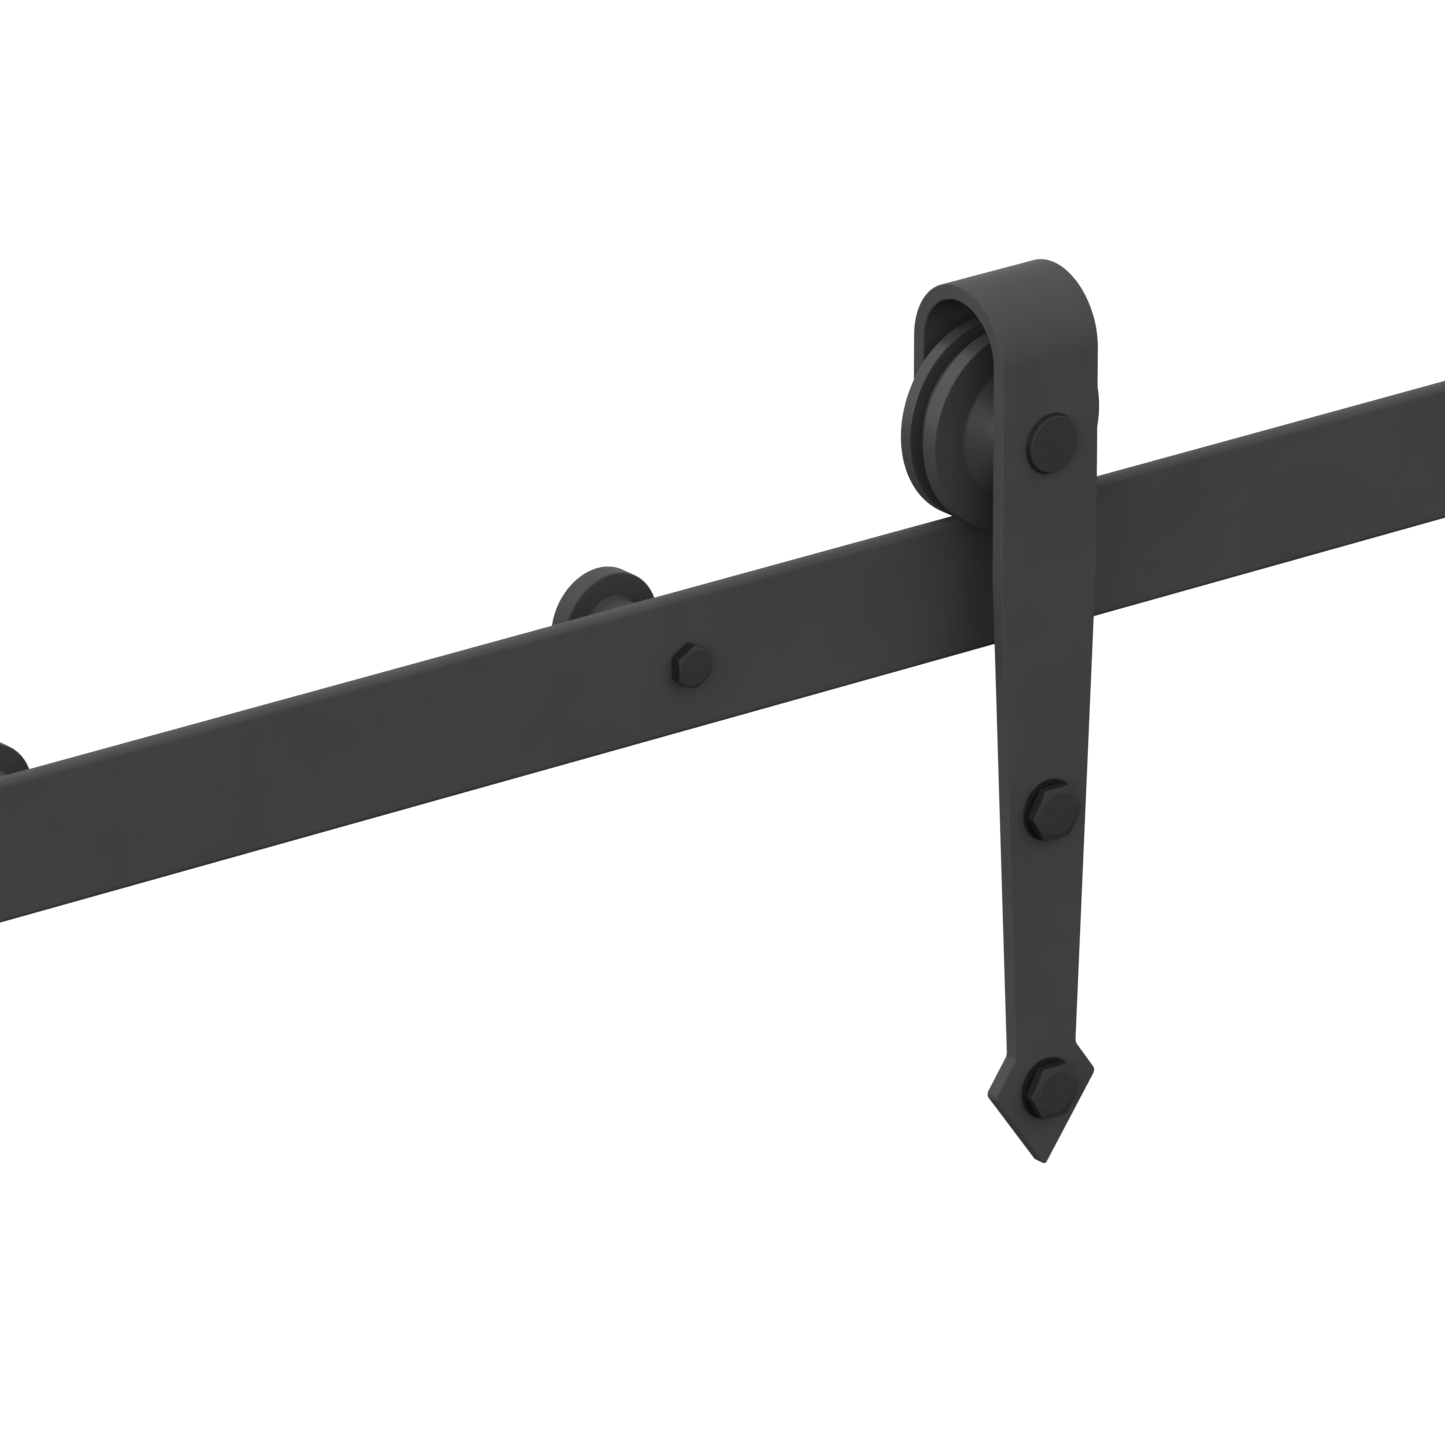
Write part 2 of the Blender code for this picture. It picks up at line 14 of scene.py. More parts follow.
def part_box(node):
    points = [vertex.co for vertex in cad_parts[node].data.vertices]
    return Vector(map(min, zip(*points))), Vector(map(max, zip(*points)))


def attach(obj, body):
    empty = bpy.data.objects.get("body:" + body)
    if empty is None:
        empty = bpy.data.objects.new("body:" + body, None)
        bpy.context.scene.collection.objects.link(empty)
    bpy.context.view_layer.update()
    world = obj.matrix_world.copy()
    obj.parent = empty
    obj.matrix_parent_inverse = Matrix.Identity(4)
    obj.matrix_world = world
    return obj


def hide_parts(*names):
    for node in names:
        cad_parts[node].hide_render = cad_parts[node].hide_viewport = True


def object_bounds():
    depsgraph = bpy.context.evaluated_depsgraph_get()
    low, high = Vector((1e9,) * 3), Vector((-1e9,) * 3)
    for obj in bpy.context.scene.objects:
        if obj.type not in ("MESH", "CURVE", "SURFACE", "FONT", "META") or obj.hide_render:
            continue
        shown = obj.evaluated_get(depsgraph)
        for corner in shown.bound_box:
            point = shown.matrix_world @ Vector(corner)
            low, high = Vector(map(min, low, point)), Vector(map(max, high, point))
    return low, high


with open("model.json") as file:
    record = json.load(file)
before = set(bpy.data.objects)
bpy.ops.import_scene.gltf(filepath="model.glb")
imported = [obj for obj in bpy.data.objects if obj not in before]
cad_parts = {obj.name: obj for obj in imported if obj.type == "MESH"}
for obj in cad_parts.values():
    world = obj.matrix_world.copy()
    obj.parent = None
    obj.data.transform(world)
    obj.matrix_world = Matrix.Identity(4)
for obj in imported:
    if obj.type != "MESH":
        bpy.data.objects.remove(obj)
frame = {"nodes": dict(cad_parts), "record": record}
cad_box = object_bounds()

SIDES = ("left", "right")
ROUND = 96          # steps round a large turned piece
SMALL_ROUND = 48    # steps round a small turned piece
ARC_STEPS = 5       # steps in a rounded edge
FINE_ROUND = 144    # steps round a wheel
RAIL_ARC_STEPS = 8
OUTLINE_ARC_STEPS = 6
FINE_ARC_STEPS = 3  # steps in the small edges of wheel and bearing
CAGE_ARC_STEPS = 2
FULL_TURN = 2 * math.pi
POLE_RADIUS = 1e-7  # below this a turned outline meets its axis
MESH_SHARP = 32     # degrees between faces from which an edge is shaded sharp
PIECE_SHARP = 40
NORMAL_WEIGHT = 80
EASE_ANGLE = 60     # degrees between faces from which an end is eased
DRILL_REACH = (-0.06, 0.06)
GRUB_DRILL_REACH = (-0.05, 0.0)

# Sizes that the boxes of the frame don't show.
GAP = 0.0003
RAIL_EDGE = 0.0018
RAIL_END_EDGE = 0.0003
SPACER_COUNT = 6
SPACER_STEM = 0.009
SPACER_FOOT = 0.0065
SPACER_EDGE = 0.0005
SPACER_FOOT_EDGE = 0.0004
SPACER_FILLET = 0.0008
STRAP_EDGE = 0.00045
STRAP_EDGE_LIMIT = 0.8  # most of the half width that an edge's radius takes at the tip
STRAP_THICKNESS = 0.0044
STRAP_HALF_WIDTH = 0.0167
LOOP_RADIUS = 0.0196
LOOP_RISE = 0.0238
# (height above the axle, half width, corner radius) of the front leg from the tip up
ARROW_OUTLINE = (
    (-0.2122, 0.0006, 0.0),
    (-0.1887, 0.0179, 0.0018),
    (-0.1787, 0.0107, 0.0030),
    (-0.0380, 0.0167, 0.0200),
)
BEND_STEPS = 48
LEG_END_STEPS = 24
LEG_END_SWEEP = 88  # degrees of the back leg's round end on each side
LAG_SHANK = 0.0032
LAG_HEAD_HEIGHT = 0.0037
LAG_TURN = 90  # degrees, so that a corner of the head points up
HEAD_EDGE = 0.00015
# Rings round a hexagonal head, (inwards, along Y), in shares of its edge: the face's lip, the rim, the seat.
FACE_LIP = (0.2, 0.5)
HEAD_RIM = ((1.0, 0.0), (0.3, 0.35), (0.0, 1.1))
SEAT_EASE = 0.3
# (face circle as a share of half the width across flats, slope in degrees) of a chamfered head
LAG_CHAMFER = (0.90, 30)
DOOR_CHAMFER = (0.80, 20)
NUT_CHAMFER = (0.90, 30)
DOOR_HEAD_ACROSS_FLATS = 0.015
DOOR_HEAD_HEIGHT = 0.0034
DOOR_BOLT_SMOOTH = 0.008  # plain length of a door bolt below its head
DOOR_HEAD_EDGE = 0.0002
STUD_EDGE = 0.0004
AXLE_SHANK = 0.005
AXLE_END_CHAMFER = 0.0009
NUT_EDGE = 0.0002
NUT_SINK = 0.0006
RING_EDGE = 0.0003
WASHER_EDGE = 0.0002
# (radius, height above its seat, edge radius) of the drafted axle head
AXLE_HEAD = ((0.0087, 0.0, 0.0001), (0.00815, 0.00125, 0.0002), (0.00785, 0.00165, 0.00025))
BOSS_END = 0.0115
BOSS_BASE = 0.0195
BOSS_BORE = 0.0092
BOSS_HOLLOW = 1.8  # exponent of the boss's hollow flare
BOSS_STEPS = 14
BOSS_EDGE = 0.0004
BORE_EDGE = 0.0003
POCKET_EDGE = 0.0004
BORE_SPLIT = (0.002, 0.004)  # depths in the bore where the wheel's outline starts and ends
WHEEL_FACES = (-0.008, 0.007)
WHEEL_RIM_EDGE = 0.00035
GROOVE_FILLET = 0.0008
BEARING_WIDTH = 0.009
OUTER_RING_BORE = 0.0122
BALL_COUNT = 7
BALL_RADIUS = 0.0022
RACE_PLAY = 0.00012
RACE_STEPS = 12
SHOULDER = 0.001    # depth of a ring's plain shoulder beside the race
BEARING_EDGE = 0.0003
OUTER_RING_EDGE = 0.0004
OUTER_BORE_EDGE = 0.0002
CAGE_EDGE = 0.0002
CAGE_HALF_THICKNESS = 0.0007
CAGE_HALF_WIDTH = 0.0015
THREAD_DEPTH = 0.0008
FINE_THREAD_DEPTH = 0.0005
WOOD_PITCH = 0.0030
BOLT_PITCH = 0.0015
THREAD_STEPS = 8    # rings in one turn of a thread
RIDGE_SLOPE = 3.2   # steepness of a thread's flank
POINT_END = 0.12    # radius of a screw's tip as a share of its thread
POINT_CURVE = 0.75  # exponent of a point's taper
POINT_LENGTH = 2.4  # length of a screw's point, in shank radii
STOP_TOP_EDGE = 0.003
STOP_FOOT_EDGE = 0.0008
STOP_SLOT_EDGE = 0.0005
STOP_END_EDGE = 0.0007
BUFFER_THICKNESS = 0.008
BUFFER_STEM = 0.003
BUFFER_STEM_LENGTH = 0.010
BUFFER_STEM_EDGE = 0.0004
BUFFER_BACK_EDGE = 0.0006
# (share of the radius, depth below the face, edge radius) from the ring moulded in a buffer's face outwards
BUFFER_FACE = (
    (0.62, 0.0003, 0.0010),
    (0.70, 0.0009, 0.0006),
    (0.80, 0.0004, 0.0006),
    (1.00, 0.0016, 0.0012),
)
GRUB_HOLE = 0.0033
GRUB_SOCKET = 0.0025
GRUB_SOCKET_MOUTH = 0.003
GRUB_SOCKET_DEPTH = 0.003
GRUB_EDGE = 0.0003

# Texture scales, in features per metre.
CLOUD_SCALE = 38.0
FLECK_SCALE = 1900.0
RUB_SCALE = 260.0
PEBBLE_SCALE = 1100.0
TURNING_SCALE = 900.0
METAL_SMUDGE_SCALE = 140.0
OXIDE_SMUDGE_SCALE = 150.0
OXIDE_GRAIN_SCALE = 1500.0
DUST_SCALE = 210.0
RUBBER_GRAIN_SCALE = 2600.0
FLOOR_TINT_SCALE = 0.8

# Ranges of a noise that a pattern is spread over, (low, high).
SOFT = (0.3, 0.7)
CLOUDS = (0.35, 0.65)
FLECKS = (0.60, 0.74)
RUBS = (0.40, 0.62)
NICKS = (0.4, 0.6)
RINGS = (0.25, 0.75)
DUSTY = (0.4, 0.75)

# Strengths of the patterns, (low, high), and factors on the colour.
CLOUD_TINTS = (0.96, 1.04)
FLECK_SHARE = (0.0, 0.35)
FLECK_TINT = 1.25
RUB_SHARE = (0.0, 0.5)
RUB_TINT = 1.35
RUB_SMOOTHING = 0.08
COAT_ROUGHNESS_SPREAD = 0.04
METAL_SMUDGE_TINT = 0.84
METAL_EDGE_SHARE = 0.5
METAL_EDGE_TINT = 1.5
METAL_ROUGHNESS_SPREAD = (-0.06, 0.08)
METAL_GRAIN = 0.10
TURNING_STRETCH = (0.08, 1.0, 0.08)
# share of the painted light on blackened faces across Y, varied by the smudges
OXIDE_PAINTED_LIGHT_SHARE = (0.93, 1.0)
OXIDE_NICK_SHARE = (0.2, 0.7)
OXIDE_NICK_TINT = 1.6
OXIDE_ROUGHNESS = (0.32, 0.42)
OXIDE_GRAIN = 0.10
RUBBER_ROUGHNESS = (0.62, 0.82)
RUBBER_GRAIN = 0.3
FLOOR_ROUGHNESS = 0.95

# Widths of the rubbed band along an edge, and heights of the skins.
COAT_RUB = 0.0005
METAL_RUB = 0.0002
OXIDE_RUB = 0.00015
COAT_HEIGHT = 0.00006
METAL_HEIGHT = 0.00004
EDGE_TURN = (0.995, 0.90)  # cosines of the angle at which an edge's wear starts and is full
PAINTED_LIGHT_FROM = (0.53, 0.58)  # how far a normal turns to Y before a blackened face is painted in its lighter, lit tone; painted light and shade

PAINT_SHEEN = 0.04
WHEEL_SHEEN = 0.25
GREY = (0.066, 0.066, 0.066)
WHEEL_GREY = (0.055, 0.055, 0.055)
# painted light and shade on blackened heads: the lit tone of faces across Y and the shaded tone of their
# sides
OXIDE_PAINTED_LIT = (0.041, 0.041, 0.041)
OXIDE_PAINTED_SHADE = (0.018, 0.018, 0.018)
WASHER_BLACK = (0.012, 0.012, 0.012)
STEEL = (0.30, 0.30, 0.31)
BRASS = (0.42, 0.31, 0.13)
RUBBER = (0.030, 0.030, 0.030)
RUBBER_DUST = (0.052, 0.051, 0.049)

FLOOR_DROP = 3.0
FLOOR_HALF_SIZE = 400
FLOOR_TINTS = ((0.90, 0.90, 0.90), (0.93, 0.93, 0.93))
SKY_STRENGTH = 1.15
GROUND_STRENGTH = 0.06
HORIZON = (-0.14, -0.06)  # heights of the view direction between which ground turns into sky
LAMP_OFFSET = (-4.0, -0.8, 1.0)
LAMP_SIZE = (4.0, 3.0)
LAMP_POWER = 64

# The photograph's viewing angle, in degrees, and its framing.
CAMERA_AZIMUTH = -38.03
CAMERA_ELEVATION = 21.0
CAMERA_DISTANCE = 4.76
CAMERA_AIM = (-0.0773, 0.0239, -0.0773)  # from the left axle
CAMERA_LENS = 433.7
CAMERA_SENSOR = 36
CAMERA_REACH = 200

rail_low, rail_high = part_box("rail")
RAIL_PLANE = (rail_low.y + rail_high.y) / 2
RAIL_HALF_THICK = (rail_high.y - rail_low.y) / 2
RAIL_HALF_TALL = (rail_high.z - rail_low.z) / 2


def centre(node):
    low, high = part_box(node)
    return (low + high) / 2


def size(node):
    low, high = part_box(node)
    return high - low


def axle_point(side):
    """Where a hanger's axle crosses the rail's middle plane."""
    middle = centre(f"wheel_{side}")
    return Vector((middle.x, RAIL_PLANE, middle.z))


# ---------------------------------------------------------------- materials

def new_material(name):
    material = bpy.data.materials.new(name)
    material.use_nodes = True
    return material, material.node_tree, material.node_tree.nodes["Principled BSDF"]


def add(tree, kind, **settings):
    node = tree.nodes.new(kind)
    for key, value in settings.items():
        if hasattr(node, key):
            setattr(node, key, value)
        else:
            node.inputs[key.replace("_", " ")].default_value = value
    return node


def noise(tree, coords, scale, detail=3.0, roughness=0.55):
    node = add(tree, "ShaderNodeTexNoise", Scale=scale, Detail=detail, Roughness=roughness)
    tree.links.new(coords, node.inputs["Vector"])
    return node.outputs["Fac"]


def spread(tree, value, low, high, out_low=0.0, out_high=1.0):
    node = add(tree, "ShaderNodeMapRange", clamp=True)
    for name, number in (("From Min", low), ("From Max", high), ("To Min", out_low), ("To Max", out_high)):
        node.inputs[name].default_value = number
    tree.links.new(value, node.inputs["Value"])
    return node.outputs["Result"]


def colour_mix(tree, factor, first, second):
    """Mix two colours, each a tuple or a socket, by a factor socket."""
    node = add(tree, "ShaderNodeMix", data_type="RGBA")
    tree.links.new(factor, node.inputs[0])
    for socket, value in ((node.inputs[6], first), (node.inputs[7], second)):
        if isinstance(value, tuple):
            socket.default_value = (*value, 1.0)
        else:
            tree.links.new(value, socket)
    return node.outputs[2]


def maths(tree, operation, first, second):
    node = add(tree, "ShaderNodeMath", operation=operation)
    for socket, value in zip(node.inputs, (first, second)):
        if isinstance(value, (int, float)):
            socket.default_value = value
        else:
            tree.links.new(value, socket)
    return node.outputs[0]


def edge_mask(tree, radius):
    """1 along convex and concave edges, from the angle between the face and its rounded neighbour."""
    rounded = add(tree, "ShaderNodeBevel", samples=4, Radius=radius)
    geometry = add(tree, "ShaderNodeNewGeometry")
    dot = add(tree, "ShaderNodeVectorMath", operation="DOT_PRODUCT")
    tree.links.new(rounded.outputs[0], dot.inputs[0])
    tree.links.new(geometry.outputs["Normal"], dot.inputs[1])
    return spread(tree, dot.outputs["Value"], *EDGE_TURN)


def bump(tree, shader, height, strength, distance):
    node = add(tree, "ShaderNodeBump", Strength=strength, Distance=distance)
    tree.links.new(height, node.inputs["Height"])
    tree.links.new(node.outputs["Normal"], shader.inputs["Normal"])


def tinted(colour, factor):
    return tuple(channel * factor for channel in colour)


def coated(name, colour, roughness, grain=0.16, sheen=PAINT_SHEEN):
    """Powder-coated steel: pebbled skin, slight cloudiness and faintly rubbed edges."""
    material, tree, shader = new_material(name)
    coords = add(tree, "ShaderNodeTexCoord").outputs["Object"]
    cloud = noise(tree, coords, CLOUD_SCALE)
    fleck = noise(tree, coords, FLECK_SCALE, detail=2.0)
    rub = noise(tree, coords, RUB_SCALE, detail=4.0)
    dark, light = (tinted(colour, factor) for factor in CLOUD_TINTS)
    base = colour_mix(tree, spread(tree, cloud, *CLOUDS), dark, light)
    flecks = spread(tree, fleck, *FLECKS, *FLECK_SHARE)
    base = colour_mix(tree, flecks, base, tinted(colour, FLECK_TINT))
    edges = maths(tree, "MULTIPLY", edge_mask(tree, COAT_RUB), spread(tree, rub, *RUBS, *RUB_SHARE))
    base = colour_mix(tree, edges, base, tinted(colour, RUB_TINT))
    tree.links.new(base, shader.inputs["Base Color"])
    smoothest, roughest = roughness - COAT_ROUGHNESS_SPREAD, roughness + COAT_ROUGHNESS_SPREAD
    rough = spread(tree, cloud, *SOFT, smoothest, roughest)
    worn_rough = maths(tree, "SUBTRACT", rough, maths(tree, "MULTIPLY", edges, RUB_SMOOTHING))
    tree.links.new(worn_rough, shader.inputs["Roughness"])
    shader.inputs["Specular IOR Level"].default_value = sheen
    bump(tree, shader, noise(tree, coords, PEBBLE_SCALE), grain, COAT_HEIGHT)
    return material


def machined(name, colour, roughness):
    """Machined metal: fine rings from turning, smudges and brighter edges."""
    material, tree, shader = new_material(name)
    coords = add(tree, "ShaderNodeTexCoord").outputs["Object"]
    shader.inputs["Metallic"].default_value = 1.0
    stretch = add(tree, "ShaderNodeMapping")
    stretch.inputs["Scale"].default_value = TURNING_STRETCH
    tree.links.new(coords, stretch.inputs["Vector"])
    rings = noise(tree, stretch.outputs[0], TURNING_SCALE, detail=4.0, roughness=0.7)
    smudge = noise(tree, coords, METAL_SMUDGE_SCALE, detail=4.0)
    base = colour_mix(tree, spread(tree, smudge, *SOFT), tinted(colour, METAL_SMUDGE_TINT), colour)
    edges = maths(tree, "MULTIPLY", edge_mask(tree, METAL_RUB), METAL_EDGE_SHARE)
    base = colour_mix(tree, edges, base, tinted(colour, METAL_EDGE_TINT))
    tree.links.new(base, shader.inputs["Base Color"])
    smoothest, roughest = (roughness + change for change in METAL_ROUGHNESS_SPREAD)
    tree.links.new(spread(tree, rings, *RINGS, smoothest, roughest), shader.inputs["Roughness"])
    bump(tree, shader, rings, METAL_GRAIN, METAL_HEIGHT)
    return material


def blackened(name, face_colour, side_colour):
    """Black oxide, painted lighter on faces across the Y axis and darker on the sides as painted light and
    shade, with smudges and bright nicks on edges.
    """
    material, tree, shader = new_material(name)
    coords = add(tree, "ShaderNodeTexCoord")
    parts = add(tree, "ShaderNodeSeparateXYZ")
    tree.links.new(coords.outputs["Normal"], parts.inputs[0])
    facing = maths(tree, "ABSOLUTE", parts.outputs["Y"], 0.0)
    smudge = noise(tree, coords.outputs["Object"], OXIDE_SMUDGE_SCALE, detail=4.0)
    # Painted shade and highlight: faces across Y and the axle head's bevel get the lighter, lit tone, and
    # the sides get the darker, shaded tone, by the way each one faces.
    rubbed = spread(tree, facing, *PAINTED_LIGHT_FROM)
    rubbed = maths(tree, "MULTIPLY", rubbed, spread(tree, smudge, *SOFT, *OXIDE_PAINTED_LIGHT_SHARE))
    base = colour_mix(tree, rubbed, side_colour, face_colour)
    nicks = spread(tree, smudge, *NICKS, *OXIDE_NICK_SHARE)
    edges = maths(tree, "MULTIPLY", edge_mask(tree, OXIDE_RUB), nicks)
    base = colour_mix(tree, edges, base, tinted(face_colour, OXIDE_NICK_TINT))
    tree.links.new(base, shader.inputs["Base Color"])
    tree.links.new(spread(tree, smudge, *SOFT, *OXIDE_ROUGHNESS), shader.inputs["Roughness"])
    shader.inputs["Specular IOR Level"].default_value = PAINT_SHEEN
    bump(tree, shader, noise(tree, coords.outputs["Object"], OXIDE_GRAIN_SCALE), OXIDE_GRAIN, METAL_HEIGHT)
    return material


def rubber(name):
    """Moulded rubber: matte, dusty in patches, with a fine pebble."""
    material, tree, shader = new_material(name)
    coords = add(tree, "ShaderNodeTexCoord").outputs["Object"]
    dust = noise(tree, coords, DUST_SCALE, detail=4.0)
    base = colour_mix(tree, spread(tree, dust, *DUSTY), RUBBER, RUBBER_DUST)
    tree.links.new(base, shader.inputs["Base Color"])
    tree.links.new(spread(tree, dust, *SOFT, *RUBBER_ROUGHNESS), shader.inputs["Roughness"])
    shader.inputs["Specular IOR Level"].default_value = PAINT_SHEEN
    bump(tree, shader, noise(tree, coords, RUBBER_GRAIN_SCALE, detail=2.0), RUBBER_GRAIN, COAT_HEIGHT)
    return material


LOOKS = {
    "rail_paint": coated("rail_coat", GREY, roughness=0.50),
    "spacer_paint": coated("spacer_coat", GREY, roughness=0.50),
    "strap_paint": coated("strap_coat", GREY, roughness=0.48),
    "wheel_paint": coated("wheel_coat", WHEEL_GREY, roughness=0.36, grain=0.10, sheen=WHEEL_SHEEN),
    "stop_paint": coated("stop_coat", GREY, roughness=0.50),
    # black oxide with painted light on faces across Y and painted shade on the sides
    "fastener_black": blackened("black_oxide", OXIDE_PAINTED_LIT, OXIDE_PAINTED_SHADE),
    "washer_black": blackened("black_washer", WASHER_BLACK, WASHER_BLACK),
    "steel": machined("ground_steel", STEEL, roughness=0.28),
    "brass": machined("pressed_brass", BRASS, roughness=0.34),
    "rubber": rubber("buffer_rubber"),
}
SLOT_OF = {entry["node"]: entry["material_slot"] for entry in frame["record"]["subparts"]}


# ---------------------------------------------------------------- mesh helpers

def to_mesh(bm, name):
    bmesh.ops.recalc_face_normals(bm, faces=bm.faces)
    mesh = bpy.data.meshes.new(name)
    bm.to_mesh(mesh)
    bm.free()
    mesh.shade_smooth()
    mesh.set_sharp_from_angle(angle=math.radians(MESH_SHARP))
    return mesh


def rounded(points, steps=ARC_STEPS):
    """Round each corner of an open line of (a, b, radius) points; a corner without a radius stays."""
    line = []
    last = len(points) - 1
    for index, point in enumerate(points):
        corner = Vector(point[:2])
        radius = point[2] if len(point) > 2 else 0.0
        if not radius or index in (0, last):
            line.append(tuple(corner))
            continue
        before = (Vector(points[index - 1][:2]) - corner).normalized()
        after = (Vector(points[index + 1][:2]) - corner).normalized()
        half = before.angle(after) / 2
        reach = radius / math.tan(half)
        middle = corner + (before + after).normalized() * radius / math.sin(half)
        start = corner + before * reach - middle
        sweep = start.angle_signed(corner + after * reach - middle)
        for step in range(steps + 1):
            turn = Matrix.Rotation(-sweep * step / steps, 2)
            line.append(tuple(middle + turn @ start))
    return line


def turned(name, outline, segments=SMALL_ROUND):
    """Turn (radius, y) points about Y; either may be a function of the angle; radius 0 is a pole."""
    bm = bmesh.new()
    loops = []
    for radius, y in outline:
        if not callable(radius) and radius < POLE_RADIUS:
            loops.append([bm.verts.new((0, y, 0))])
            continue
        loop = []
        for step in range(segments):
            angle = FULL_TURN * step / segments
            r = radius(angle) if callable(radius) else radius
            height = y(angle) if callable(y) else y
            loop.append(bm.verts.new((r * math.cos(angle), height, r * math.sin(angle))))
        loops.append(loop)
    pairs = list(zip(loops, loops[1:]))
    if len(loops[0]) > 1:
        pairs.append((loops[-1], loops[0]))
    for first, second in pairs:
        for step in range(segments):
            after = (step + 1) % segments
            corners = [first[step % len(first)], first[after % len(first)]]
            corners += [second[after % len(second)], second[step % len(second)]]
            bm.faces.new(dict.fromkeys(corners))
    return to_mesh(bm, name)


def hexagon(across_flats, turn=0.0, blunt=0.985):
    """Radius of a hexagon as a function of the angle, its corners cut to a circle; turn is a corner."""
    corner = across_flats / math.sqrt(3) * blunt

    def radius(angle):
        from_flat = (angle - turn) % (math.pi / 3) - math.pi / 6
        return min(across_flats / 2 / math.cos(from_flat), corner)
    return radius


def less(radius, amount):
    return lambda angle: radius(angle) - amount


def hex_head(across_flats, height, turn, chamfer, ease=HEAD_EDGE):
    """Outline of a hexagonal head from its face to its seat at y = 0; chamfer is (share, degrees)."""
    side = hexagon(across_flats, turn)
    face = across_flats / 2 * chamfer[0]
    slope = math.tan(math.radians(chamfer[1]))

    def ring(inset, drop):
        return less(side, inset), lambda angle: (side(angle) - inset - face) * slope + drop - height
    return [
        (0, -height), (face - ease, -height),
        (face + ease * FACE_LIP[0], ease * slope * FACE_LIP[1] - height),
        *(ring(ease * inset, ease * drop) for inset, drop in HEAD_RIM),
        (side, -ease), (less(side, ease * SEAT_EASE), -ease * SEAT_EASE), (less(side, ease), 0),
    ]


def thread(radius, start, end, pitch, depth, point=0.0):
    """Rings of a helical thread from y = start to y = end; point is the length of the tapering tip."""
    count = max(2, round((end - start) / pitch * THREAD_STEPS))
    rings = []
    for step in range(1, count):
        y = start + (end - start) * step / count
        tip = min(1.0, (end - y) / point) if point else 1.0
        run_in = min(1.0, (y - start) / pitch)

        def ring_radius(angle, y=y, tip=tip, run_in=run_in):
            phase = (y / pitch - angle / FULL_TURN) % 1.0
            ridge = max(0.0, 1.0 - abs(phase - 0.5) * RIDGE_SLOPE)
            taper = POINT_END + (1 - POINT_END) * tip ** POINT_CURVE
            return (radius - depth * run_in * (1 - ridge)) * taper
        rings.append((ring_radius, y))
    return rings


def prism(name, outline, half_length):
    """Extrude a closed (y, z) outline both ways along X."""
    bm = bmesh.new()
    ends = []
    for x in (-half_length, half_length):
        ends.append([bm.verts.new((x, y, z)) for y, z in outline])
    count = len(outline)
    for index in range(count):
        after = (index + 1) % count
        bm.faces.new((ends[0][index], ends[0][after], ends[1][after], ends[1][index]))
    bm.faces.new(ends[0])
    bm.faces.new(reversed(ends[1]))
    return to_mesh(bm, name)


def add_object(name, mesh, location):
    piece = bpy.data.objects.new(name, mesh)
    piece.location = location
    bpy.context.scene.collection.objects.link(piece)
    return piece


def apply_modifiers(piece):
    """Keep the evaluated shape and drop the modifiers."""
    bpy.context.view_layer.update()
    shaped = piece.evaluated_get(bpy.context.evaluated_depsgraph_get())
    mesh = bpy.data.meshes.new_from_object(shaped)
    piece.modifiers.clear()
    piece.data = mesh


def cut(piece, cutters):
    """Subtract shapes given as (mesh, matrix) in the piece's frame."""
    helpers = []
    for mesh, matrix in cutters:
        helper = add_object("cutter", mesh, (0, 0, 0))
        helper.matrix_world = piece.matrix_basis @ matrix
        modifier = piece.modifiers.new("cut", "BOOLEAN")
        modifier.operation = "DIFFERENCE"
        modifier.object = helper
        helpers.append(helper)
    apply_modifiers(piece)
    for helper in helpers:
        bpy.data.objects.remove(helper)


def ease_edges(piece, width, segments):
    """Round the edges at a piece's ends."""
    modifier = piece.modifiers.new("ease", "BEVEL")
    modifier.width = width
    modifier.segments = segments
    modifier.limit_method = "ANGLE"
    modifier.angle_limit = math.radians(EASE_ANGLE)
    apply_modifiers(piece)


def even_normals(piece):
    """Flat faces keep flat shading beside their rounded edges."""
    piece.data.shade_smooth()
    piece.data.set_sharp_from_angle(angle=math.radians(PIECE_SHARP))
    modifier = piece.modifiers.new("even_normals", "WEIGHTED_NORMAL")
    modifier.keep_sharp = True
    modifier.weight = NORMAL_WEIGHT
    apply_modifiers(piece)


def finish_piece(piece, node):
    """Give a piece its node's look, let it ride on the node's body and stand for the node."""
    body = next(b for b, nodes in frame["record"]["behaviour"]["bodies"].items() if node in nodes)
    piece.data.materials.clear()
    piece.data.materials.append(LOOKS[SLOT_OF[node]])
    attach(piece, body)
    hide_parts(node)
    return piece


def place(node, mesh, location):
    piece = add_object(f"{node}_look", mesh, location)
    even_normals(piece)
    return finish_piece(piece, node)


def drill(radius, x, z, reach=DRILL_REACH):
    """Round cutter along Y, with its place in the piece's frame."""
    mesh = turned("drill", [(0, reach[0]), (radius, reach[0]), (radius, reach[1]), (0, reach[1])])
    return mesh, Matrix.Translation((x, 0, z))


# ---------------------------------------------------------------- rail and its fixings

def lag_nodes():
    return sorted(name for name in frame["nodes"] if name.startswith("lag_bolt_"))


